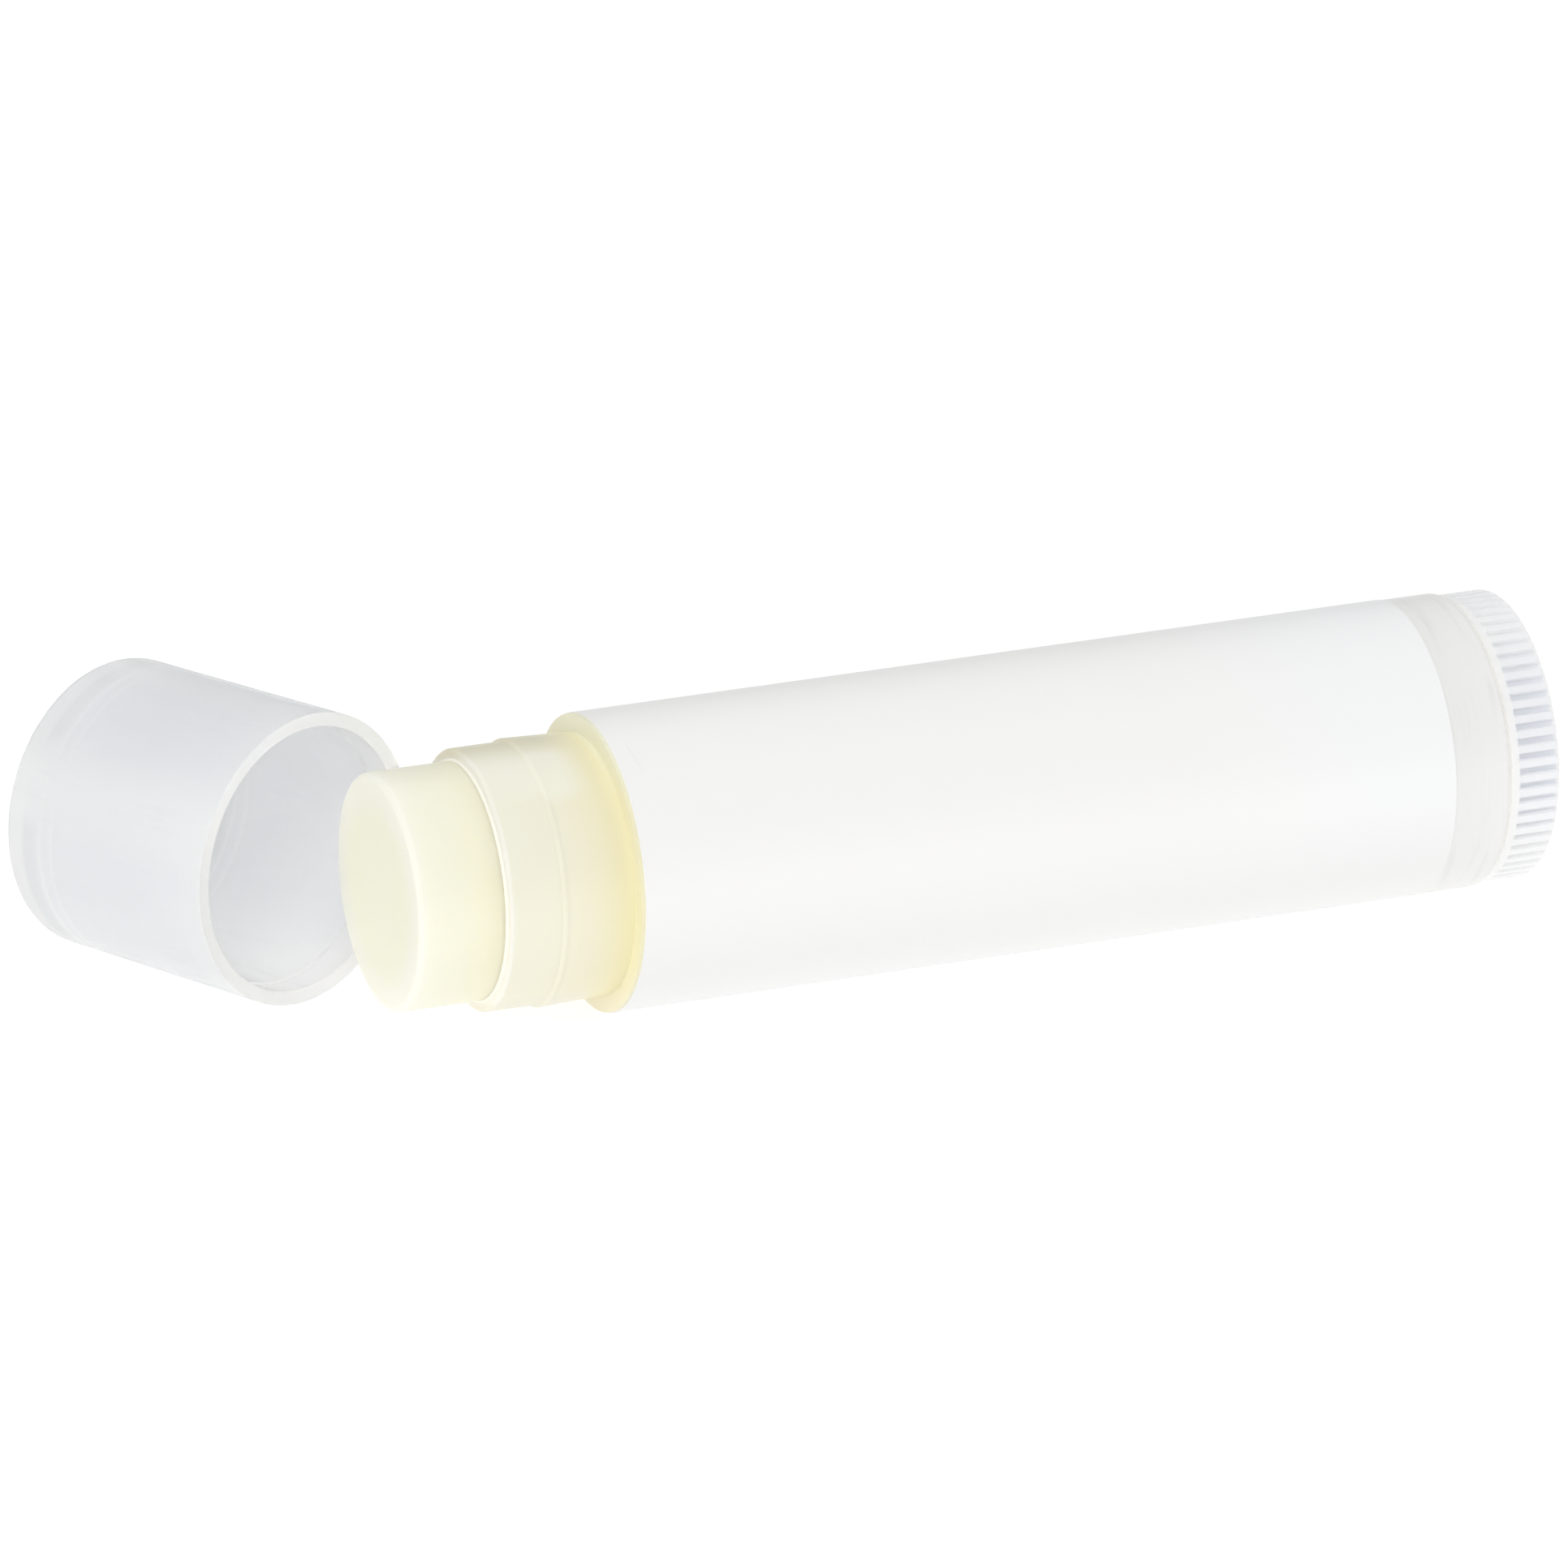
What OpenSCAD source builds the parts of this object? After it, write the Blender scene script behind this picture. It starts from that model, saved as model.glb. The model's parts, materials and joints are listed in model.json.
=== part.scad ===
// Twist-up lip balm stick with its cap drawn off, lying on a table.
// The stick's axis runs along X: the balm points to -X and the dial to +X. The cap lies beside the tip.
// The origin is on the stick's axis at the front edge of the label. Millimetres throughout.

/* [Barrel] */
// Outside diameter of the barrel
barrel_d = 15.92; // [15.4:0.02:17]
// Length of the barrel from its shoulder to its base end
barrel_len = 49.75; // [45:0.05:60]
// Wall of the barrel, from its outside to the straight bore that runs on through the neck
barrel_wall = 1.56; // [1.46:0.02:1.7]
// Rounding of the barrel's outer edge at the base end
base_edge_round = 0.3; // [0.1:0.05:0.6]

/* [Neck] */
// Length of the neck that the cap goes over
neck_len = 6.9; // [5:0.05:9]
// Height of the shoulder, from the barrel's outside down to the neck's
shoulder_step = 0.96; // [0.8:0.02:1.02]
// Rounding of the neck's rim
rim_round = 0.2; // [0.05:0.05:0.25]
// Height of the snap ridge above the neck
snap_ridge_height = 0.15; // [0.05:0.01:0.2]
// Distance from the shoulder to the crest of the snap ridge
snap_ridge_from_shoulder = 3.85; // [2.5:0.05:4.5]
// Length of the ramp that leads the cap over the snap ridge
snap_ridge_ramp = 0.2; // [0.1:0.05:0.5]

/* [Guide ribs] */
// Number of straight guide ribs in the barrel's bore
guide_ribs = 4; // [2:1:6]
// Width of a guide rib
guide_rib_w = 0.8; // [0.5:0.05:1.2]
// Height of a guide rib above the bore's wall
guide_rib_height = 0.25; // [0.15:0.05:0.3]
// Distance from the shoulder to the front end of the guide ribs
guide_rib_setback = 0.5; // [0.2:0.1:2]
// Clearance around a guide rib in the carrier's notch and the balm's groove
guide_fit = 0.1; // [0.05:0.01:0.15]

/* [Label] */
// Thickness of the label film
label_thickness = 0.04; // [0.03:0.01:0.15]
// Length of the label along the stick
label_len = 46.3; // [40:0.1:48]
// Distance from the barrel's shoulder to the front edge of the label
label_setback = 0.2; // [0:0.05:1]

/* [Dial] */
// How far the dial's surface lies inside the barrel's
dial_step = 0.16; // [0:0.02:0.4]
// Length of the dial along the stick
dial_len = 2.85; // [2.2:0.05:4]
// Gap between the barrel's base end and the dial
dial_gap = 0.1; // [0.05:0.05:0.3]
// Number of grip teeth around the dial
dial_teeth = 60; // [36:2:72]
// Angle by which the dial stands turned past a groove at the top
dial_turned = 1.7; // [0:0.1:6]
// Depth of the grooves between the teeth
tooth_depth = 0.3; // [0.15:0.05:0.4]
// Width of a groove at the dial's surface
tooth_gap = 0.42; // [0.25:0.01:0.5]
// Width of a groove at its floor
tooth_gap_floor = 0.28; // [0.1:0.01:0.3]
// Width of the smooth flange beside the teeth
dial_flange = 0.45; // [0.2:0.05:0.8]
// Rounding of the dial's end edge
dial_edge_round = 0.35; // [0.1:0.05:0.5]
// Thickness of the dial's end web
dial_web = 1.4; // [1:0.1:1.8]
// Width of the flat ring that the stick stands on
foot_ring_w = 1.2; // [0.8:0.1:2]
// Depth of the shallow recess inside that ring
foot_recess = 0.3; // [0.1:0.05:0.4]
// Radius of the gate mark in the middle of the recess
gate_r = 0.9; // [0.5:0.1:1.2]
// Depth of the gate mark
gate_depth = 0.25; // [0.1:0.05:0.4]

/* [Snap collar] */
// Length of the dial's collar inside the barrel
collar_len = 3.2; // [2.8:0.1:5]
// Wall of the collar
collar_wall = 0.9; // [0.7:0.05:1.2]
// Radial running clearance of the collar in the bore
collar_fit = 0.08; // [0.04:0.01:0.1]
// Height of the snap bead on the collar
bead_height = 0.3; // [0.2:0.05:0.4]
// Width of the snap bead at its foot
bead_w = 1.1; // [0.8:0.1:1.4]
// Width of the snap bead's flat top
bead_top_w = 0.3; // [0.1:0.1:0.5]
// Distance from the barrel's base end to the middle of the snap bead
bead_from_base = 1.5; // [1:0.1:2]
// Clearance around the snap bead in its groove
bead_fit = 0.08; // [0.04:0.01:0.1]

/* [Spindle] */
// Diameter of the spindle's core
core_d = 3.4; // [2.8:0.1:3.8]
// Height of the thread above the core
thread_height = 0.6; // [0.4:0.05:0.7]
// Travel of the carrier in one turn of the dial
thread_lead = 3; // [2.5:0.1:4]
// Width of the thread at its crest
thread_crest = 0.7; // [0.5:0.05:0.9]
// Slope of each thread flank from the square
thread_flank_angle = 20; // [5:1:30]
// Clearance between the spindle's thread and the carrier's
thread_fit = 0.1; // [0.06:0.01:0.15]
// How far the boss at the spindle's foot stands out beyond the thread
boss_step = 0.4; // [0.2:0.1:0.8]
// Distance from the shoulder down to the spindle's tip
spindle_setback = 1; // [0.5:0.5:8]

/* [Carrier] */
// Length of the carrier from its cup's edge to its foot
carrier_len = 9; // [8:0.25:12]
// Depth of the cup that holds the balm
cup_depth = 5.5; // [4:0.25:6]
// Wall of the cup
cup_wall = 0.6; // [0.5:0.05:0.7]
// Thickness of the cup's floor
cup_floor = 1; // [0.8:0.1:1.5]
// Radial clearance of the carrier in the bore
carrier_fit = 0.1; // [0.05:0.01:0.15]
// Outside diameter of the threaded hub
hub_d = 7; // [6.8:0.1:8]
// Height of the hub below the cup's edge
hub_setback = 1; // [0.5:0.25:2]
// Gap between the carrier and the collar when the balm is wound right down
carrier_stop_gap = 0.2; // [0.1:0.05:0.5]

/* [Balm] */
// How far the balm is wound out of the neck
balm_out = 4.85; // [1:0.05:5.5]
// Radial clearance of the balm in the bore
balm_fit = 0.05; // [0.03:0.01:0.1]
// Rounding of the balm's front edge
balm_edge_round = 0.35; // [0.1:0.05:0.8]
// Solid balm that stays in front of the spindle when it is wound right down
balm_nose_gap = 0.4; // [0.2:0.1:1]

/* [Cap] */
// Length of the cap
cap_len = 14.65; // [13:0.05:18]
// How far the cap's surface at its mouth lies inside the barrel's
cap_step = 0.035; // [0:0.005:0.2]
// How much the cap's outer radius shrinks towards its closed end
cap_taper = 0.105; // [0:0.005:0.2]
// Rounding of the cap's closed end
cap_edge_round = 0.55; // [0.2:0.05:1]
// Thickness of the cap's closed end
cap_end_wall = 1.75; // [1:0.05:2.5]
// Radius of the cap's inner corner
cap_inner_round = 0.9; // [0.3:0.05:1.5]
// Radial clearance of the cap's bore on the neck
cap_fit = 0.08; // [0.04:0.01:0.12]
// Depth of the wider lead-in at the cap's mouth
cap_lead_in = 1.65; // [1:0.05:2.5]
// Extra radius of that lead-in
cap_lead_in_step = 0.1; // [0.05:0.01:0.2]
// Bevel of the cap's inner mouth edge
cap_mouth_bevel = 0.08; // [0.02:0.01:0.15]

/* [Where the cap lies] */
// Distance of the middle of the cap's mouth in front of the balm's tip
cap_ahead = 1.66; // [1.5:0.02:20]
// Distance of the cap's mouth to the side of the stick's axis
cap_aside = 6.51; // [6.4:0.01:30]
// Direction in which the cap's closed end points, from +X
cap_direction = 115.8; // [100:0.2:120]

/* [Hidden] */
$fn = 96;

// Points in one full turn of the thread
thread_steps = 18;
// How far a cut runs past the solid that it cuts
cut = 0.5;

barrel_r = barrel_d / 2;
bore_r = barrel_r - barrel_wall;
neck_r = barrel_r - shoulder_step;
label_r = barrel_r + label_thickness;

shoulder_x = -label_setback;
rim_x = shoulder_x - neck_len;
base_x = shoulder_x + barrel_len;
ridge_x = shoulder_x - snap_ridge_from_shoulder;
rib_x = shoulder_x + guide_rib_setback;

dial_r = barrel_r - dial_step;
dial_x = base_x + dial_gap;
dial_end_x = dial_x + dial_len;
web_x = dial_end_x - dial_web;
collar_r = bore_r - collar_fit;
collar_x = base_x - collar_len;
bead_x = base_x - bead_from_base;

core_r = core_d / 2;
crest_r = core_r + thread_height;
boss_r = crest_r + boss_step;
spindle_x = shoulder_x + spindle_setback;

// The carrier's foot when the balm is wound right down, and where it is now
carrier_stop_x = collar_x - carrier_stop_gap;
carrier_foot_x = carrier_stop_x - balm_out;
cup_edge_x = carrier_foot_x - carrier_len;
cup_floor_x = cup_edge_x + cup_depth;
hub_x = cup_edge_x + hub_setback;
carrier_r = bore_r - carrier_fit;
cup_r = carrier_r - cup_wall;
hub_r = hub_d / 2;

// The balm was cast flush with the rim while the carrier stood on its stop
balm_r = bore_r - balm_fit;
balm_tip_x = rim_x - balm_out;
balm_groove_x = rib_x - balm_out - guide_fit;
balm_core_x = spindle_x - balm_out - balm_nose_gap;
balm_core_r = crest_r + thread_fit;

cap_mouth_r = barrel_r - cap_step;
cap_end_r = cap_mouth_r - cap_taper;
cap_bore_r = neck_r + cap_fit;
// Slope of the cap's side, which lies flat on the table
cap_slope = atan(cap_taper / (cap_len - cap_edge_round));

// Points on an arc about a centre, from one angle to another
function arc(centre, r, from, to, steps = 12) =
    [for (i = [0:steps])
        let (a = from + (to - from) * i / steps)
        centre + r * [cos(a), sin(a)]];

// Stands a shape that was drawn along +Z along the stick, starting at x
module along_stick(x) {
    translate([x, 0, 0])
        rotate([0, 90, 0])
            children();
}

// A solid cylinder along the stick between two places
module rod(x, to_x, r) {
    along_stick(x)
        cylinder(h = to_x - x, r = r);
}

// A solid of revolution about the stick's axis. Each point is its radius and its place along X.
module turned(outline) {
    along_stick(0)
        rotate_extrude()
            polygon(outline);
}

// The guide ribs, or with a clearance the notches that run on them
module guides(x, to_x, clearance = 0) {
    w = guide_rib_w + 2 * clearance;
    r = bore_r - guide_rib_height - clearance;
    for (i = [0:guide_ribs - 1])
        rotate([360 * (i + 0.5) / guide_ribs, 0, 0])
            translate([x, -w / 2, r])
                cube([to_x - x, w, bore_r + cut - r]);
}

// A rod with a right-hand thread between two places along the stick. Its turns are counted from x = 0,
// so two of these always mesh, wherever they start. A clearance widens it on all sides.
module threaded_rod(x, to_x, clearance = 0) {
    core = core_r + clearance;
    crest = crest_r + clearance;
    crest_half = thread_crest / 2 + clearance;
    foot_half = crest_half + thread_height * tan(thread_flank_angle);
    section = [[core, -foot_half], [crest, -crest_half], [crest, crest_half], [core, foot_half]];
    turn = thread_steps;
    first = floor((x / thread_lead - 1.5) * turn);
    last = ceil((to_x / thread_lead + 1.5) * turn);
    end = last - first;
    points = [for (i = [first:last], p = section)
        let (a = 360 * i / turn)
        [p[1] + thread_lead * i / turn, p[0] * cos(a), p[0] * sin(a)]];
    middles = [[thread_lead * (first / turn + 0.5), 0, 0], [thread_lead * (last / turn - 0.5), 0, 0]];
    // Each step along the helix adds one section, so a corner's neighbour on the next step is n points on
    n = len(section);
    flanks = [for (i = [0:end - 1], k = [0:n - 2])
        [n * i + k, n * i + k + 1, n * (i + 1) + k + 1, n * (i + 1) + k]];
    cores = [for (i = [0:end - 1 - turn])
        [n * (i + 1) - 1, n * (i + turn), n * (i + turn + 1), n * (i + 2) - 1]];
    front = concat([for (i = [0:turn]) n * i], [for (k = [n - 1:-1:1]) k]);
    back = concat([for (i = [end - turn:end]) n * i + n - 1], [for (k = [n - 2:-1:0]) n * end + k]);
    rims = len(front);
    middle = n * (end + 1);
    triangles = concat(
        [for (q = concat(flanks, cores), half = [0, 1]) half == 0 ? [q[0], q[1], q[2]] : [q[0], q[2], q[3]]],
        [for (i = [0:rims - 1]) [middle, front[i], front[(i + 1) % rims]]],
        [for (i = [0:rims - 1]) [middle + 1, back[(i + 1) % rims], back[i]]]);
    intersection() {
        polyhedron(points = concat(points, middles), faces = triangles, convexity = 10);
        rod(x, to_x, crest + cut);
    }
}

// Outline of the snap bead on the collar, or with a clearance that of the groove it snaps into
function bead(clearance = 0) =
    let (foot = bead_w / 2 + clearance,
         top = bead_top_w / 2 + clearance,
         r = collar_r + bead_height + clearance)
    [[collar_r, bead_x - foot], [r, bead_x - top], [r, bead_x + top], [collar_r, bead_x + foot]];

module barrel() {
    outline = concat(
        [[bore_r, rim_x]],
        arc([neck_r - rim_round, rim_x + rim_round], rim_round, -90, 0),
        [[neck_r, ridge_x - snap_ridge_ramp],
         [neck_r + snap_ridge_height, ridge_x],
         [neck_r, shoulder_x],
         [barrel_r, shoulder_x]],
        arc([barrel_r - base_edge_round, base_x - base_edge_round], base_edge_round, 0, 90),
        [[bore_r, base_x]]);
    color([0.93, 0.93, 0.92, 0.6]) {
        difference() {
            turned(outline);
            turned(bead(bead_fit));
        }
        guides(rib_x, carrier_stop_x);
    }
}

module label() {
    color([0.97, 0.97, 0.96])
        turned([[barrel_r, 0], [label_r, 0], [label_r, label_len], [barrel_r, label_len]]);
}

module carrier() {
    outline = [
        [0, hub_x],
        [hub_r, hub_x],
        [hub_r, cup_floor_x],
        [cup_r, cup_floor_x],
        [cup_r, cup_edge_x],
        [carrier_r, cup_edge_x],
        [carrier_r, carrier_foot_x],
        [cup_r, carrier_foot_x],
        [cup_r, cup_floor_x + cup_floor],
        [hub_r, cup_floor_x + cup_floor],
        [hub_r, carrier_foot_x],
        [0, carrier_foot_x]];
    color([0.95, 0.95, 0.93])
        difference() {
            turned(outline);
            guides(cup_edge_x - cut, carrier_foot_x + cut, guide_fit);
            threaded_rod(hub_x - cut, carrier_foot_x + cut, thread_fit);
        }
}

module balm() {
    outline = concat(
        [[0, balm_tip_x]],
        arc([balm_r - balm_edge_round, balm_tip_x + balm_edge_round], balm_edge_round, -90, 0),
        [[balm_r, cup_edge_x],
         [cup_r, cup_edge_x],
         [cup_r, cup_floor_x],
         [hub_r, cup_floor_x],
         [hub_r, hub_x],
         [balm_core_r, hub_x],
         [balm_core_r, balm_core_x],
         [0, balm_core_x]]);
    color([0.96, 0.95, 0.84])
        difference() {
            turned(outline);
            guides(balm_groove_x, cup_floor_x, guide_fit);
        }
}

// The grooves that leave the dial's grip teeth between them
module dial_grooves() {
    floor_r = dial_r - tooth_depth;
    outer_r = dial_r + cut;
    outer_w = tooth_gap_floor + (tooth_gap - tooth_gap_floor) * (outer_r - floor_r) / tooth_depth;
    groove = [
        [floor_r, -tooth_gap_floor / 2],
        [outer_r, -outer_w / 2],
        [outer_r, outer_w / 2],
        [floor_r, tooth_gap_floor / 2]];
    along_stick(dial_x + dial_flange)
        linear_extrude(dial_len)
            for (i = [0:dial_teeth - 1])
                rotate(dial_turned + 360 * i / dial_teeth)
                    polygon(groove);
}

module dial_screw() {
    foot_r = dial_r - dial_edge_round - foot_ring_w;
    recess_x = dial_end_x - foot_recess;
    outline = concat(
        [[0, collar_x],
         [boss_r, collar_x],
         [boss_r, web_x],
         [collar_r - collar_wall, web_x],
         [collar_r - collar_wall, collar_x],
         [collar_r, collar_x]],
        bead(),
        [[collar_r, dial_x],
         [dial_r, dial_x]],
        arc([dial_r - dial_edge_round, dial_end_x - dial_edge_round], dial_edge_round, 0, 90),
        [[foot_r, dial_end_x],
         [foot_r, recess_x],
         [gate_r, recess_x],
         [gate_r, recess_x - gate_depth],
         [0, recess_x - gate_depth]]);
    color([0.93, 0.93, 0.92, 0.6]) {
        difference() {
            turned(outline);
            dial_grooves();
        }
        threaded_rod(spindle_x, collar_x + cut);
    }
}

module cap() {
    inner_len = cap_len - cap_end_wall;
    lead_in_r = cap_bore_r + cap_lead_in_step;
    outline = concat(
        [[lead_in_r + cap_mouth_bevel, 0], [cap_mouth_r, 0]],
        arc([cap_end_r - cap_edge_round, cap_len - cap_edge_round], cap_edge_round, 0, 90),
        [[0, cap_len], [0, inner_len]],
        arc([cap_bore_r - cap_inner_round, inner_len - cap_inner_round], cap_inner_round, 90, 0),
        [[cap_bore_r, cap_lead_in + cap_lead_in_step],
         [lead_in_r, cap_lead_in],
         [lead_in_r, cap_mouth_bevel]]);
    color([0.89, 0.9, 0.91, 0.6])
        translate([balm_tip_x - cap_ahead, cap_aside, -label_r])
            rotate([0, 90 + cap_slope, cap_direction])
                translate([-cap_mouth_r, 0, 0])
                    rotate_extrude()
                        polygon(outline);
}

barrel();
label();
carrier();
balm();
dial_screw();
cap();
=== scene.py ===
"""Looks of a twist-up lip balm stick with its cap drawn off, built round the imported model.

Lengths are in metres, apart from those whose comment says millimetres. Colours are linear.
"""

import json
import math

import bpy
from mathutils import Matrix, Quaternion, Vector


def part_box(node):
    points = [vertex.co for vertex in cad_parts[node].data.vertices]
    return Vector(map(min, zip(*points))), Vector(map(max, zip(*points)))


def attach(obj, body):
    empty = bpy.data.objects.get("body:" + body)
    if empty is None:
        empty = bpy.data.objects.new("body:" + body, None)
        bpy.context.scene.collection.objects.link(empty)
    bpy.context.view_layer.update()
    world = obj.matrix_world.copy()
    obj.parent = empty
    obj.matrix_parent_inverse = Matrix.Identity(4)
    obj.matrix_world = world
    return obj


MM = 0.001
# The stick's axis, from the balm's tip towards the dial
AXIS = Vector((1.0, 0.0, 0.0))
# What a value is spread to as it grows
RISING = (0.0, 1.0)
FALLING = (1.0, 0.0)

# The camera: what it looks at, from how far, and in which direction in degrees. Azimuth 0 looks along +Y
CAMERA_TARGET = Vector((0.00998, -0.00247, 0.00381))
CAMERA_DISTANCE = 0.8
CAMERA_AZIMUTH = -21.53
CAMERA_ELEVATION = 19.706
CAMERA_ROLL = -0.493
# Its sensor's width and its focal length in millimetres
CAMERA_SENSOR = 36.0
CAMERA_LENS = 348.8

# The studio: a glowing floor, an even sky, and softboxes by name with their place, size and power in watts
FLOOR_HALF = 6.0
FLOOR_GLOW = 0.81
FLOOR_GREY = 0.28
SKY = (0.42, 0.425, 0.435)
SKY_STRENGTH = 1.0
SOFTBOXES = {
    "front": (Vector((-0.35, -0.9, 1.1)), 0.9, 7.0),
    "overhead": (Vector((0.05, 0.45, 0.85)), 0.3, 1.9),
    "right": (Vector((0.9, -0.5, 0.4)), 0.5, 1.6),
    "left": (Vector((-1.0, -0.3, 0.12)), 0.4, 2.5),
}
# How often light may bounce, so that it gets into the cap and out of it again
LIGHT_BOUNCES = 24
DIFFUSE_BOUNCES = 12

# Where the middle of the cap's mouth lies
CAP_MOUTH = Vector((-0.01361, 0.00651, 0.0))

# Painted light and painted shade on sides that look lighter or darker: the direction, from how far out along
# it in millimetres to where the colour is reached, how much of it, and the colour
# On the cap: a painted highlight streak, painted shade on its upper side, and painted light on its top edge
# and its underside
CAP_PAINTED_LIGHT_AND_SHADE = (
    (Vector((-0.81, -0.392, 0.438)), 7.2, 7.9, 1.0, (1.0, 1.0, 1.0)),
    (Vector((-0.38, -0.184, 0.906)), 6.2, 7.9, 0.3, (0.88, 0.9, 0.92)),
    (Vector((0.1, 0.05, 0.994)), 7.2, 7.9, 1.0, (1.0, 1.0, 1.0)),
    (Vector((0.0, 0.0, -1.0)), 5.4, 7.7, 0.85, (1.0, 1.0, 1.0)),
)
# On the neck: a painted highlight on its upper front, and painted shade on its top and its underside
NECK_PAINTED_LIGHT_AND_SHADE = (
    (Vector((0.0, -0.4, 0.917)), 6.72, 7.0, 0.9, (1.0, 0.985, 0.84)),
    (Vector((0.0, 0.34, 0.94)), 6.0, 7.0, 1.0, (0.84, 0.8, 0.6)),
    (Vector((0.0, -0.34, -0.94)), 6.3, 7.0, 1.0, (0.935, 0.905, 0.76)),
)
# On the shoulder: painted light on its top, and painted shade on its underside
SHOULDER_PAINTED_LIGHT_AND_SHADE = (
    (Vector((0.0, 0.1, 0.995)), 4.0, 7.6, 1.0, (1.0, 0.985, 0.77)),
    (Vector((0.0, 0.0, -1.0)), 3.0, 7.4, 1.0, (0.955, 0.9, 0.685)),
)
# On the label: painted shade on its lower front side
LABEL_PAINTED_SHADE = ((Vector((0.0, -0.5, -0.866)), 2.5, 7.6, 1.0, (0.89, 0.888, 0.88)),)

# Colours by place along the stick in millimetres. The tube is milky white, tinted by the balm that it holds
TUBE_TINTS_AND_PAINTED_LIGHT = (
    # painted light: a lighter line on the neck's rim
    (-7.1, (0.99, 0.98, 0.92)),
    (-6.95, (0.98, 0.955, 0.8)),
    (-4.25, (0.97, 0.94, 0.76)),
    # painted shade: a darker band on the snap ridge
    (-4.05, (0.9, 0.87, 0.7)),
    (-3.85, (0.97, 0.94, 0.75)),
    (-2.5, (0.975, 0.93, 0.7)),
    (-0.8, (0.99, 0.93, 0.62)),
    (1.0, (1.0, 0.945, 0.67)),
    (46.0, (0.94, 0.935, 0.915)),
)
# The turned lines on the bare band at its base
TUBE_LINES = (0.85, 0.845, 0.83)
# The dial from its flange to its end edge
DIAL_TINTS = (
    (49.6, (0.93, 0.925, 0.905)),
    (50.05, (0.93, 0.925, 0.905)),
    (50.2, (0.91, 0.91, 0.905)),
    (52.0, (0.91, 0.91, 0.905)),
    (52.4, (0.94, 0.935, 0.92)),
)
# Painted shade in the dial's grooves
DIAL_GROOVE_SHADE = (0.895, 0.897, 0.9)
# Bluish painted shade on the teeth and the grooves on the dial's darker side
DIAL_SHADED_SIDE = Vector((0.0, -0.96, 0.28))
DIAL_SHADED_TOOTH = (0.86, 0.865, 0.88)
DIAL_SHADED_GROOVE = (0.82, 0.83, 0.865)
# The cap's colours by place from its mouth, with painted light on its rim and in a band by the mouth, two
# lines of painted light where its inner corner shows through, and a band of painted shade towards its end
CAP_TINTS_AND_PAINTED_LIGHT = (
    # painted light on the rim
    (0.0, (1.0, 1.0, 0.99)),
    (0.14, (1.0, 1.0, 0.99)),
    # a band of painted light by the mouth
    (0.2, (0.965, 0.965, 0.965)),
    (1.5, (0.95, 0.955, 0.96)),
    (1.8, (0.935, 0.94, 0.95)),
    (11.05, (0.93, 0.935, 0.945)),
    # a line of painted light
    (11.24, (1.0, 1.0, 1.0)),
    (11.43, (0.935, 0.94, 0.95)),
    (11.89, (0.93, 0.935, 0.945)),
    # a line of painted light
    (12.08, (1.0, 1.0, 1.0)),
    (12.27, (0.91, 0.915, 0.925)),
    # a band of painted shade
    (12.6, (0.86, 0.865, 0.875)),
    (13.2, (0.85, 0.85, 0.86)),
    (13.5, (0.93, 0.93, 0.925)),
    (14.65, (0.94, 0.94, 0.935)),
)
CAP_SCUFFS = (0.86, 0.87, 0.89)
# What all the plastic is tinted with in places
PLASTIC_TONE = (0.97, 0.97, 0.97)
# The label, faintly warm where balm lies behind it
LABEL_TINTS = ((30.0, (0.93, 0.922, 0.9)), (42.0, (0.935, 0.935, 0.93)))
LABEL_TONE = (0.96, 0.96, 0.96)
# Painted shade along a faint crease in the label
LABEL_CREASE_SHADE = (0.88, 0.875, 0.865)
# The balm along its side from the edge of its face, in the middle of its face, and in places. It is lighter
# towards the edge of its face, which is painted light
BALM_TINTS_AND_PAINTED_LIGHT = (
    (-11.95, (0.965, 0.928, 0.79)),
    (-10.9, (0.965, 0.92, 0.77)),
    (-9.2, (0.967, 0.909, 0.725)),
    (-7.0, (0.98, 0.898, 0.655)),
)
BALM_MIDDLE = (0.957, 0.915, 0.717)
BALM_TONE = (0.98, 0.965, 0.87)
# The film of balm in the rim, paler at its front, which is painted light
SMEAR_TINTS_AND_PAINTED_LIGHT = ((-7.3, (0.965, 0.955, 0.87)), (-6.6, (0.96, 0.94, 0.8)))

# Stretches along the stick in millimetres, by where each comes in, is full, begins to fade and is gone
SHOULDER_SPAN = (-0.6, -0.3, 5.0, 6.0)
TEETH_SPAN = (50.05, 50.15, 52.25, 52.4)
GAP_SPAN = (49.53, 49.54, 49.6, 49.61)
# Where the painted light and shade on the neck's sides fade out before the shoulder, and the turned lines at
# the base come in
NECK_FADE = (-2.8, -1.4)
BASE_BAND_START = (45.8, 46.4)
# How far out in millimetres the grooves turn into teeth, the painted shade on the dial's darker side lies,
# and the balm's face ends
GROOVE_RADII = (7.52, 7.72)
DIAL_SHADED_REACH = (4.8, 7.4)
BALM_FACE_RADII = (3.6, 5.6)

# A faint crease in the label, from one end to the other, along which shade is painted
CREASE = (Vector((0.000893, -0.002861, 0.007471)), Vector((0.00117, -0.004585, 0.006555)))
CREASE_HALF_WIDTH = 0.00006
# How far it runs on past its ends, and how far inside them it is full
CREASE_PAST = 0.0002
CREASE_FADE = 0.0003

# A painted glow, though it is no lamp, on the tube's face in the gap beside the dial, in place of light that
# has spread through the milky plastic: how strong it is, and its colour
GAP_GLOW = 0.21
GAP_LIGHT = (1.0, 0.99, 0.97)
# The same painted glow on the cap's rim, and where it fades out from the mouth in millimetres. It comes in
# over the upper part of the rim: the direction, and from where to where along it in millimetres
RIM_GLOW = 0.1
RIM_LIGHT = (1.0, 1.0, 0.99)
RIM_FADE = (0.13, 0.2)
RIM_UPPER = Vector((0.3, 0.0, 0.954))
RIM_UPPER_REACH = (-6.0, 2.0)

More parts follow.
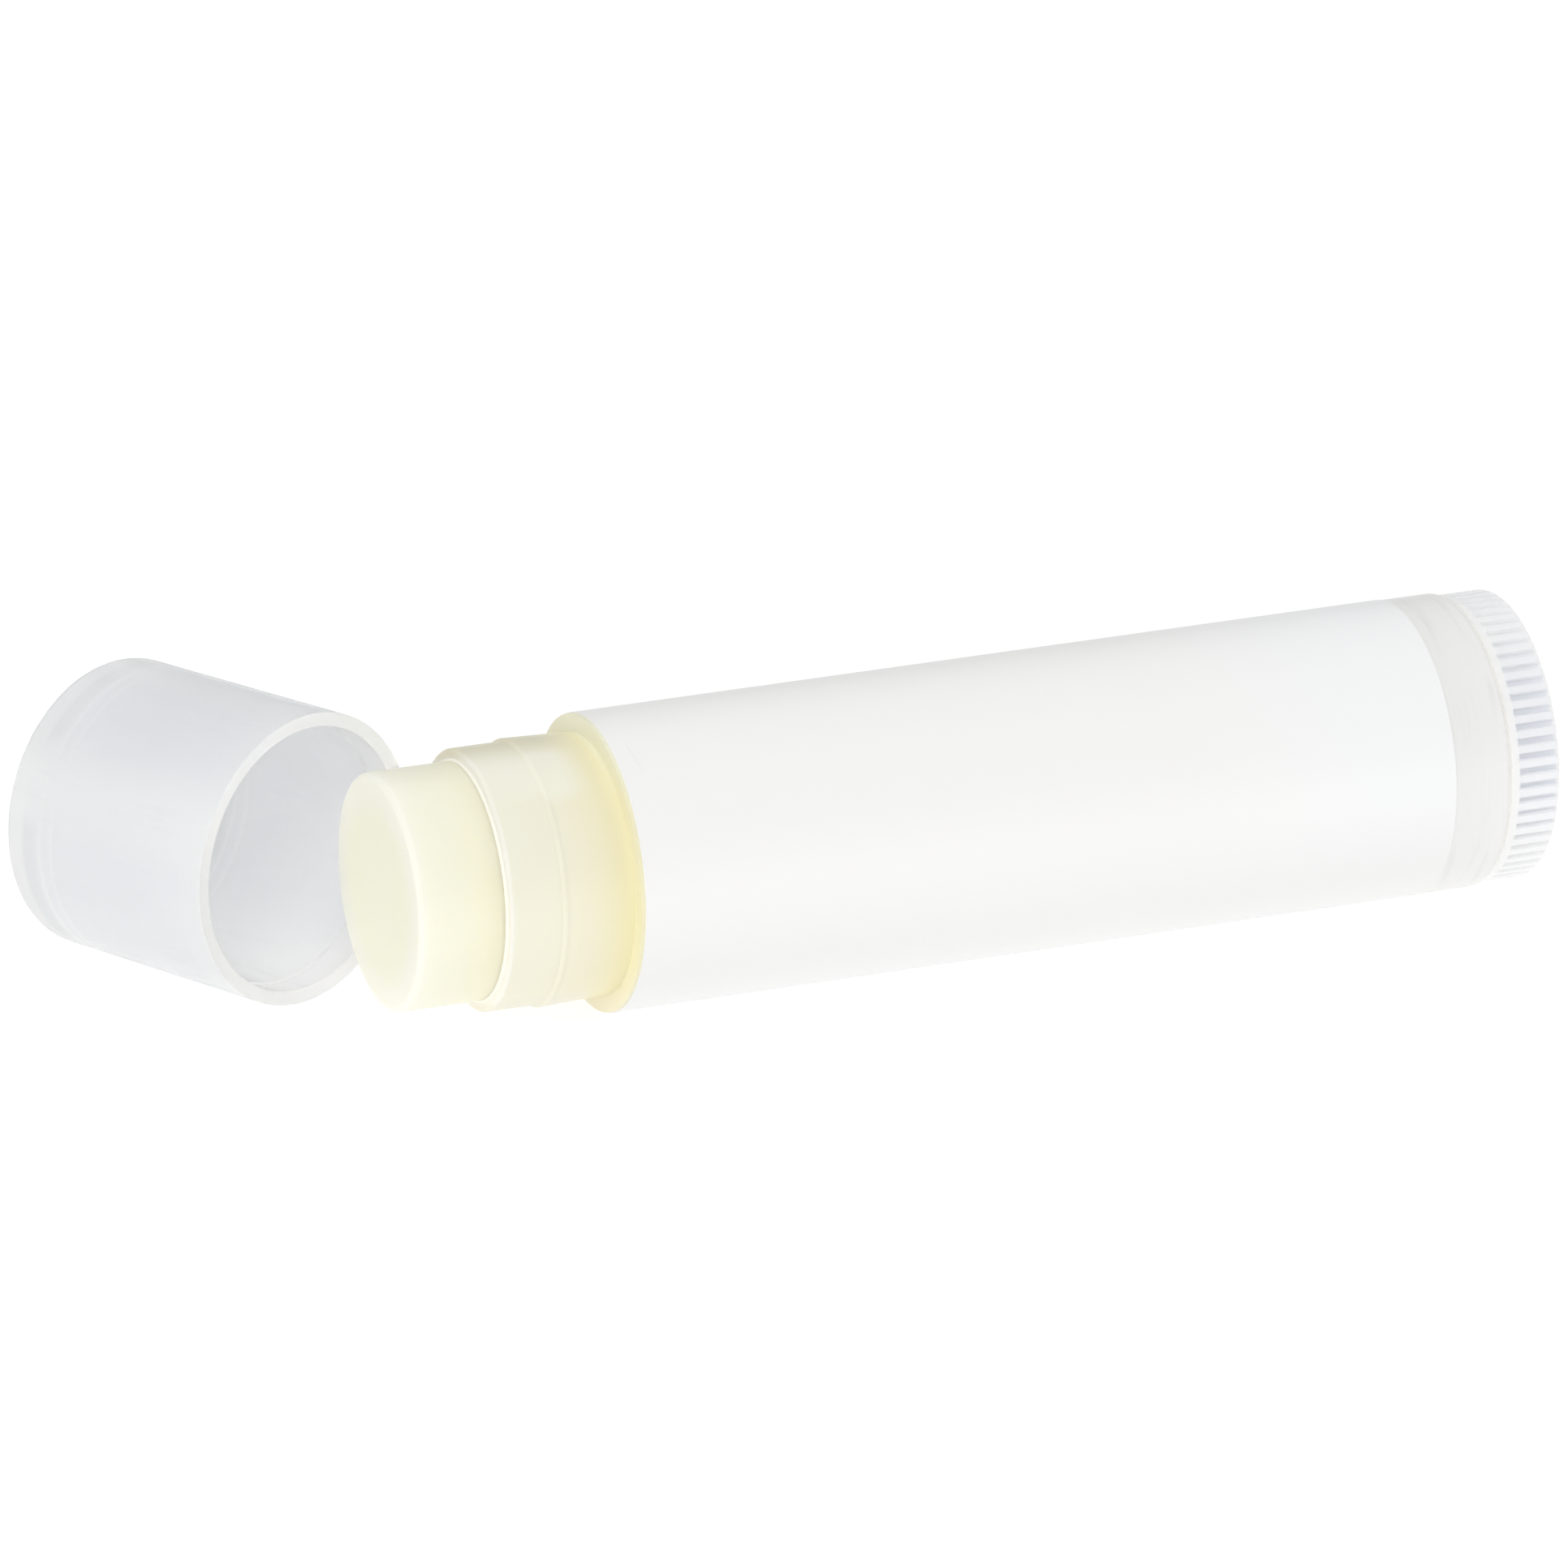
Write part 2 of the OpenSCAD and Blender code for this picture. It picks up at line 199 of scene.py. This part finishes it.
# The share of light that passes through the tube and the cap, and that spreads inside the dial and the balm
TUBE_CLEAR = 0.12
CAP_CLEAR = 0.57
DIAL_DEPTH = 0.8
BALM_DEPTH = 0.7
# Shader settings that are the same all over a surface
PLASTIC_SETTINGS = {
    "Subsurface Radius": (1.0, 1.0, 1.0),
    "Subsurface Scale": 0.0008,
    "IOR": 1.49,
    "Coat Weight": 0.5,
    "Coat Roughness": 0.28,
}
LABEL_SETTINGS = {"Specular IOR Level": 0.3}
BALM_SETTINGS = {
    "Subsurface Radius": (1.0, 0.95, 0.8),
    "Subsurface Scale": 0.0012,
    "IOR": 1.43,
}
FLOOR_SETTINGS = {
    "Base Color": (FLOOR_GREY, FLOOR_GREY, FLOOR_GREY, 1.0),
    "Roughness": 1.0,
    "Specular IOR Level": 0.0,
    "Emission Color": (1.0, 1.0, 1.0, 1.0),
    "Emission Strength": FLOOR_GLOW,
}

# Noise by what it draws: its scale to the metre, its detail, the part of its range that counts, and what
# that part is spread to
NOISES = {
    "tube_lines": (2600.0, 2.0, (0.5, 0.72), (0.0, 0.75)),
    "tube_patches": (260.0, 2.0, (0.42, 0.62), RISING),
    "cap_scuffs": (1500.0, 3.0, (0.56, 0.75), (0.0, 0.5)),
    "cap_patches": (150.0, 2.0, (0.42, 0.62), RISING),
    "plastic_tone": (180.0, 3.0, (0.35, 0.65), (0.0, 0.08)),
    "plastic_roughness": (900.0, 5.0, (0.3, 0.7), (0.72, 0.85)),
    "label_tone": (60.0, 3.0, (0.3, 0.7), (0.0, 0.05)),
    "label_roughness": (700.0, 4.0, (0.3, 0.7), (0.38, 0.48)),
    "balm_tone": (220.0, 3.0, (0.35, 0.65), (0.0, 0.12)),
    "balm_roughness": (500.0, 4.0, (0.3, 0.7), (0.38, 0.5)),
}
# Bumps: the scale to the metre and the detail of their noise, their strength, and how far they stand out
BUMPS = {
    "plastic": (400.0, 4.0, 0.15, 0.00004),
    "label": (150.0, 3.0, 0.2, 0.00003),
    "balm": (350.0, 3.0, 0.25, 0.00006),
}
# How much noise is drawn out into lines round the stick and into streaks along the cap
ROUND_LINES = (1.0, 0.06, 0.06)
CAP_STREAKS = 0.12

# The film of balm in the neck's rim, in millimetres: how far it reaches along the stick, and its radii on the
# inside, in the gap and at the bead
SMEAR_REACH = (-7.21, -6.6)
SMEAR_RADII = (6.352, 6.398, 6.48)
# The steps round the stick and round the bead, and the angle in degrees above which its edges stay sharp
SMEAR_STEPS = 128
BEAD_STEPS = 8
SMEAR_SHARP_ANGLE = 40.0


def in_metres(places):
    """Places in millimetres as metres."""
    return tuple(value * MM for value in places)


def set_inputs(node, settings):
    """Sets a node's inputs by name."""
    for name, value in settings.items():
        node.inputs[name].default_value = value


def new_material(name):
    """A material with its node tree and its Principled shader."""
    material = bpy.data.materials.new(name)
    material.use_nodes = True
    tree = material.node_tree
    return material, tree, tree.nodes["Principled BSDF"]


def add(tree, kind, inputs=None, **properties):
    """A new node of a kind, with its inputs by name and its properties."""
    node = tree.nodes.new(kind)
    for key, value in properties.items():
        setattr(node, key, value)
    set_inputs(node, inputs or {})
    return node


def arithmetic(tree, operation, first, second=None):
    """One step of arithmetic on a value. The second value may be a number."""
    node = add(tree, "ShaderNodeMath", operation=operation)
    tree.links.new(first, node.inputs[0])
    if isinstance(second, float):
        node.inputs[1].default_value = second
    elif second is not None:
        tree.links.new(second, node.inputs[1])
    return node.outputs["Value"]


def multiply(tree, first, second):
    """The product of two values."""
    return arithmetic(tree, "MULTIPLY", first, second)


def vector_step(tree, operation, at, second=None, output="Vector"):
    """One step of arithmetic on a place, with a vector as the second term."""
    node = add(tree, "ShaderNodeVectorMath", operation=operation)
    tree.links.new(at, node.inputs[0])
    if second is not None:
        node.inputs[1].default_value = second
    return node.outputs[output]


def place(tree):
    """Where a point of the surface lies on its own body, in metres."""
    return add(tree, "ShaderNodeTexCoord").outputs["Object"]


def along(tree, at, direction):
    """How far a place lies along a direction."""
    return vector_step(tree, "DOT_PRODUCT", at, direction, "Value")


def from_axis(tree, at):
    """How far a place lies from the stick's axis."""
    flat = vector_step(tree, "MULTIPLY", at, (0.0, 1.0, 1.0))
    return vector_step(tree, "LENGTH", flat, output="Value")


def from_mouth(tree, at):
    """A place as seen from the middle of the cap's mouth."""
    return vector_step(tree, "SUBTRACT", at, CAP_MOUTH)


def drawn_round(tree, at):
    """A place whose noise runs in lines round the stick."""
    return vector_step(tree, "MULTIPLY", at, ROUND_LINES)


def drawn_along(tree, at, direction, factor):
    """A place squeezed along a direction, so that its noise runs in streaks along it."""
    shift = add(tree, "ShaderNodeVectorMath", operation="SCALE")
    shift.inputs[0].default_value = direction * (factor - 1.0)
    tree.links.new(along(tree, at, direction), shift.inputs["Scale"])
    node = add(tree, "ShaderNodeVectorMath", operation="ADD")
    tree.links.new(at, node.inputs[0])
    tree.links.new(shift.outputs["Vector"], node.inputs[1])
    return node.outputs["Vector"]


def spread(tree, value, source, target, smooth=False):
    """A value moved from one range to another, and kept inside it."""
    ranges = {"From Min": source[0], "From Max": source[1], "To Min": target[0], "To Max": target[1]}
    how = "SMOOTHSTEP" if smooth else "LINEAR"
    node = add(tree, "ShaderNodeMapRange", ranges, interpolation_type=how)
    tree.links.new(value, node.inputs["Value"])
    return node.outputs["Result"]


def inside_span(tree, value, span):
    """1 between the inner two of four places, and 0 outside the outer two."""
    start, full, fade, end = span
    coming = spread(tree, value, (start, full), RISING)
    going = spread(tree, value, (fade, end), FALLING)
    return multiply(tree, coming, going)


def noise(tree, at, scale, detail):
    """Soft noise."""
    node = add(tree, "ShaderNodeTexNoise", {"Scale": scale, "Detail": detail})
    tree.links.new(at, node.inputs["Vector"])
    return node.outputs["Fac"]


def drawn(tree, at, name):
    """What the noise of that name draws."""
    scale, detail, source, target = NOISES[name]
    return spread(tree, noise(tree, at, scale, detail), source, target)


def bump(tree, shader, at, name):
    """Raises the surface by the bumps of that name."""
    scale, detail, strength, distance = BUMPS[name]
    node = add(tree, "ShaderNodeBump", {"Strength": strength, "Distance": distance})
    tree.links.new(noise(tree, at, scale, detail), node.inputs["Height"])
    tree.links.new(node.outputs["Normal"], shader.inputs["Normal"])


def blend_colours(tree, share, first, second):
    """The colour between two as share goes from 0 to 1. Each may be a colour or another node's output."""
    node = add(tree, "ShaderNodeMix", data_type="RGBA")
    tree.links.new(share, node.inputs["Factor"])
    for socket, colour in (("A", first), ("B", second)):
        target = next(i for i in node.inputs if i.name == socket and i.type == "RGBA")
        if isinstance(colour, tuple):
            target.default_value = (*colour, 1.0)
        else:
            tree.links.new(colour, target)
    return next(o for o in node.outputs if o.type == "RGBA")


def tints(tree, value, stops):
    """Colours that blend from stop to stop, where each stop is a place in millimetres and a colour."""
    start, end = stops[0][0], stops[-1][0]
    ramp = add(tree, "ShaderNodeValToRGB")
    tree.links.new(spread(tree, value, in_metres((start, end)), RISING), ramp.inputs["Fac"])
    elements = ramp.color_ramp.elements
    while len(elements) < len(stops):
        elements.new(0.5)
    for element, (where, colour) in zip(elements, stops):
        element.position = (where - start) / (end - start)
        element.color = (*colour, 1.0)
    return ramp.outputs["Color"]


def paint_light_and_shade_on_sides(tree, at, colours, sides, within=None):
    """Colours with painted light and painted shade on some sides, kept within a part of the surface."""
    for direction, low, high, share, colour in sides:
        reach = in_metres((low, high))
        side = spread(tree, along(tree, at, direction), reach, (0.0, share), smooth=True)
        if within is not None:
            side = multiply(tree, side, within)
        colours = blend_colours(tree, side, colours, colour)
    return colours


def tube_colours(tree, at):
    """The tube's colours, with faint turned lines on the bare band at its base, and painted light and shade
    on its neck and shoulder.
    """
    forward = along(tree, at, AXIS)
    colours = tints(tree, forward, TUBE_TINTS_AND_PAINTED_LIGHT)
    lines = multiply(tree, drawn(tree, drawn_round(tree, at), "tube_lines"), drawn(tree, at, "tube_patches"))
    band = spread(tree, forward, in_metres(BASE_BAND_START), RISING)
    colours = blend_colours(tree, multiply(tree, lines, band), colours, TUBE_LINES)
    neck = spread(tree, forward, in_metres(NECK_FADE), FALLING)
    colours = paint_light_and_shade_on_sides(tree, at, colours, NECK_PAINTED_LIGHT_AND_SHADE, neck)
    shoulder = inside_span(tree, forward, in_metres(SHOULDER_SPAN))
    return paint_light_and_shade_on_sides(tree, at, colours, SHOULDER_PAINTED_LIGHT_AND_SHADE, shoulder)


def dial_colours(tree, at):
    """The dial's colours, with painted shade in its grooves and bluish painted shade on one side."""
    forward = along(tree, at, AXIS)
    colours = tints(tree, forward, DIAL_TINTS)
    teeth = inside_span(tree, forward, in_metres(TEETH_SPAN))
    groove = multiply(tree, teeth, spread(tree, from_axis(tree, at), in_metres(GROOVE_RADII), FALLING))
    side = spread(tree, along(tree, at, DIAL_SHADED_SIDE), in_metres(DIAL_SHADED_REACH), RISING, smooth=True)
    colours = blend_colours(tree, multiply(tree, teeth, side), colours, DIAL_SHADED_TOOTH)
    groove_colours = blend_colours(tree, side, DIAL_GROOVE_SHADE, DIAL_SHADED_GROOVE)
    return blend_colours(tree, groove, colours, groove_colours)


def cap_colours(tree, at, axis):
    """The cap's colours: bands along it with painted light and shade, painted light and shade on its sides,
    and fine scuffs.
    """
    seen = from_mouth(tree, at)
    colours = tints(tree, along(tree, seen, axis), CAP_TINTS_AND_PAINTED_LIGHT)
    colours = paint_light_and_shade_on_sides(tree, seen, colours, CAP_PAINTED_LIGHT_AND_SHADE)
    streaks = drawn(tree, drawn_along(tree, at, axis, CAP_STREAKS), "cap_scuffs")
    scuffs = multiply(tree, streaks, drawn(tree, at, "cap_patches"))
    return blend_colours(tree, scuffs, colours, CAP_SCUFFS)


def polypropylene(name, colours_of, clear=0.0, depth=0.0):
    """Natural polypropylene, cloudy inside under a satin skin.

    clear is the share of light that passes through it, and depth the share that spreads inside it.
    """
    material, tree, shader = new_material(name)
    at = place(tree)
    colours = blend_colours(tree, drawn(tree, at, "plastic_tone"), colours_of(tree, at), PLASTIC_TONE)
    tree.links.new(colours, shader.inputs["Base Color"])
    tree.links.new(drawn(tree, at, "plastic_roughness"), shader.inputs["Roughness"])
    set_inputs(shader, {"Transmission Weight": clear, "Subsurface Weight": depth, **PLASTIC_SETTINGS})
    bump(tree, shader, at, "plastic")
    return material


def glow(material, strength, colour):
    """Makes a surface glow with painted light where strength says so."""
    tree = material.node_tree
    shader = tree.nodes["Principled BSDF"]
    shader.inputs["Emission Color"].default_value = (*colour, 1.0)
    tree.links.new(strength, shader.inputs["Emission Strength"])


def glow_in_gap(material):
    """Paints a glow on the tube's face in the gap beside the dial."""
    tree = material.node_tree
    gap = inside_span(tree, along(tree, place(tree), AXIS), in_metres(GAP_SPAN))
    glow(material, spread(tree, gap, RISING, (0.0, GAP_GLOW)), GAP_LIGHT)


def glow_on_rim(material, axis):
    """Paints a glow on the upper part of the cap's rim."""
    tree = material.node_tree
    at = place(tree)
    rim = spread(tree, along(tree, from_mouth(tree, at), axis), in_metres(RIM_FADE), (RIM_GLOW, 0.0))
    upper = spread(tree, along(tree, at, RIM_UPPER), in_metres(RIM_UPPER_REACH), RISING)
    glow(material, multiply(tree, rim, upper), RIM_LIGHT)


def crease_shade_share(tree, at):
    """1 where shade is painted along the label's crease, and 0 beside it."""
    start, end = CREASE
    run = (end - start).normalized()
    across = run.cross(Vector((0.0, start.y, start.z)).normalized())
    offset = arithmetic(tree, "SUBTRACT", along(tree, at, across), across.dot(start))
    width = spread(tree, arithmetic(tree, "ABSOLUTE", offset), (0.0, CREASE_HALF_WIDTH), FALLING)
    near, far = run.dot(start), run.dot(end)
    span = (near - CREASE_PAST, near + CREASE_FADE, far - CREASE_FADE, far + CREASE_PAST)
    return multiply(tree, width, inside_span(tree, along(tree, at, run), span))


def label_film():
    """Plain white film with a satin face, faintly warm where balm lies behind it, with painted shade on its
    lower side and along one small crease.
    """
    material, tree, shader = new_material("label_white")
    at = place(tree)
    colours = tints(tree, along(tree, at, AXIS), LABEL_TINTS)
    colours = blend_colours(tree, drawn(tree, at, "label_tone"), colours, LABEL_TONE)
    colours = paint_light_and_shade_on_sides(tree, at, colours, LABEL_PAINTED_SHADE)
    colours = blend_colours(tree, crease_shade_share(tree, at), colours, LABEL_CREASE_SHADE)
    tree.links.new(colours, shader.inputs["Base Color"])
    tree.links.new(drawn(tree, at, "label_roughness"), shader.inputs["Roughness"])
    set_inputs(shader, LABEL_SETTINGS)
    bump(tree, shader, at, "label")
    return material


def balm_wax(name, side_tints, depth):
    """Cast cream balm: another colour in the middle of its face and painted light towards its edge, light in
    its depth, and a waxy sheen.
    """
    material, tree, shader = new_material(name)
    at = place(tree)
    sides = tints(tree, along(tree, at, AXIS), side_tints)
    outward = spread(tree, from_axis(tree, at), in_metres(BALM_FACE_RADII), RISING, smooth=True)
    colours = blend_colours(tree, outward, BALM_MIDDLE, sides)
    colours = blend_colours(tree, drawn(tree, at, "balm_tone"), colours, BALM_TONE)
    tree.links.new(colours, shader.inputs["Base Color"])
    tree.links.new(drawn(tree, at, "balm_roughness"), shader.inputs["Roughness"])
    set_inputs(shader, {"Subsurface Weight": depth, **BALM_SETTINGS})
    bump(tree, shader, at, "balm")
    return material


def finish_surfaces(nodes, cap_axis):
    """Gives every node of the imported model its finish."""
    tube = polypropylene("barrel_plastic", tube_colours, clear=TUBE_CLEAR)
    glow_in_gap(tube)
    dial = polypropylene("dial_plastic", dial_colours, depth=DIAL_DEPTH)
    cover = polypropylene("cap_plastic", lambda tree, at: cap_colours(tree, at, cap_axis), clear=CAP_CLEAR)
    glow_on_rim(cover, cap_axis)
    finishes = {
        "barrel": tube,
        "dial_screw": dial,
        "carrier": dial,
        "cap": cover,
        "label": label_film(),
        "balm": balm_wax("balm_cream", BALM_TINTS_AND_PAINTED_LIGHT, BALM_DEPTH),
    }
    for name, material in finishes.items():
        nodes[name].data.materials.clear()
        nodes[name].data.materials.append(material)


def smear_profile():
    """The film's section in millimetres, as places along the stick and radii.

    It is a rounded bead before the rim with a tongue in the gap.
    """
    front, back = SMEAR_REACH
    inner, gap, bead = SMEAR_RADII
    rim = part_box("barrel")[0].x / MM
    section = [(back, inner)]
    for i in range(BEAD_STEPS + 1):
        turn = math.radians(90.0 * i / BEAD_STEPS)
        section.append((rim + (front - rim) * math.cos(turn), inner + (bead - inner) * math.sin(turn)))
    return section + [(rim, gap), (back, gap)]


def add_smear():
    """A thin film of balm that fills the gap between the balm and the neck's rim."""
    steps = SMEAR_STEPS
    section = smear_profile()
    turns = [2.0 * math.pi * i / steps for i in range(steps)]
    points = [(x * MM, r * MM * math.cos(t), r * MM * math.sin(t)) for x, r in section for t in turns]
    faces = []
    for j in range(len(section)):
        row = j * steps
        next_row = (j + 1) % len(section) * steps
        for i in range(steps):
            beside = (i + 1) % steps
            faces.append((row + i, row + beside, next_row + beside, next_row + i))
    mesh = bpy.data.meshes.new("balm_smear")
    mesh.from_pydata(points, [], faces)
    mesh.update()
    mesh.shade_smooth()
    mesh.set_sharp_from_angle(angle=math.radians(SMEAR_SHARP_ANGLE))
    smear = bpy.data.objects.new("balm_smear", mesh)
    bpy.context.scene.collection.objects.link(smear)
    mesh.materials.append(balm_wax("balm_film", SMEAR_TINTS_AND_PAINTED_LIGHT, 0.0))
    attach(smear, "barrel")


def soft_light(name, place_at, aim, size, power):
    """A square softbox that looks at a point."""
    data = bpy.data.lights.new(name, "AREA")
    data.shape = "SQUARE"
    data.size = size
    data.energy = power
    light = bpy.data.objects.new(name, data)
    light.location = place_at
    light.rotation_mode = "QUATERNION"
    light.rotation_quaternion = (aim - place_at).to_track_quat("-Z", "Y")
    bpy.context.scene.collection.objects.link(light)


def make_floor(height):
    """A plain pale floor that the stick lies on."""
    half = FLOOR_HALF
    outline = [(-half, -half, height), (half, -half, height), (half, half, height), (-half, half, height)]
    mesh = bpy.data.meshes.new("floor")
    mesh.from_pydata(outline, [], [(0, 1, 2, 3)])
    floor = bpy.data.objects.new("floor", mesh)
    bpy.context.scene.collection.objects.link(floor)
    material, _, shader = new_material("floor_white")
    set_inputs(shader, FLOOR_SETTINGS)
    mesh.materials.append(material)


def make_studio(height):
    """The floor, an even pale sky and the softboxes."""
    make_floor(height)
    world = bpy.data.worlds.new("studio")
    bpy.context.scene.world = world
    world.use_nodes = True
    sky = world.node_tree.nodes["Background"]
    set_inputs(sky, {"Color": (*SKY, 1.0), "Strength": SKY_STRENGTH})
    for name, (where, size, power) in SOFTBOXES.items():
        soft_light(name, where, CAMERA_TARGET, size, power)
    scene = bpy.context.scene
    scene.view_settings.view_transform = "Standard"
    scene.cycles.max_bounces = LIGHT_BOUNCES
    scene.cycles.transmission_bounces = LIGHT_BOUNCES
    scene.cycles.diffuse_bounces = DIFFUSE_BOUNCES


def make_camera():
    """The camera at the photograph's place."""
    azimuth, elevation = math.radians(CAMERA_AZIMUTH), math.radians(CAMERA_ELEVATION)
    back = Vector((
        math.sin(azimuth) * math.cos(elevation),
        -math.cos(azimuth) * math.cos(elevation),
        math.sin(elevation),
    ))
    data = bpy.data.cameras.new("camera")
    data.sensor_width = CAMERA_SENSOR
    data.lens = CAMERA_LENS
    camera = bpy.data.objects.new("camera", data)
    camera.location = CAMERA_TARGET + back * CAMERA_DISTANCE
    camera.rotation_mode = "QUATERNION"
    roll = Quaternion((0.0, 0.0, 1.0), math.radians(CAMERA_ROLL))
    camera.rotation_quaternion = (-back).to_track_quat("-Z", "Y") @ roll
    bpy.context.scene.collection.objects.link(camera)
    bpy.context.scene.camera = camera


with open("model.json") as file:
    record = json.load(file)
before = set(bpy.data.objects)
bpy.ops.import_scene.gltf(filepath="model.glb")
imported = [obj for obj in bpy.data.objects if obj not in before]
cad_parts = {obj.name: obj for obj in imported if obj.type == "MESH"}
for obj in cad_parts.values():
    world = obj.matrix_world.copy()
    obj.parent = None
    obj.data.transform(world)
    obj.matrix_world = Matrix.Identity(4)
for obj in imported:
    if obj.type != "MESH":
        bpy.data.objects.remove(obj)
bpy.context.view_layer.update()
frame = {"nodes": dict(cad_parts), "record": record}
make_camera()
joints = {joint["name"]: joint for joint in frame["record"]["behaviour"]["joints"]}
finish_surfaces(frame["nodes"], Vector(joints["cap_slide"]["axis"]))
add_smear()
make_studio(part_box("label")[0].z)
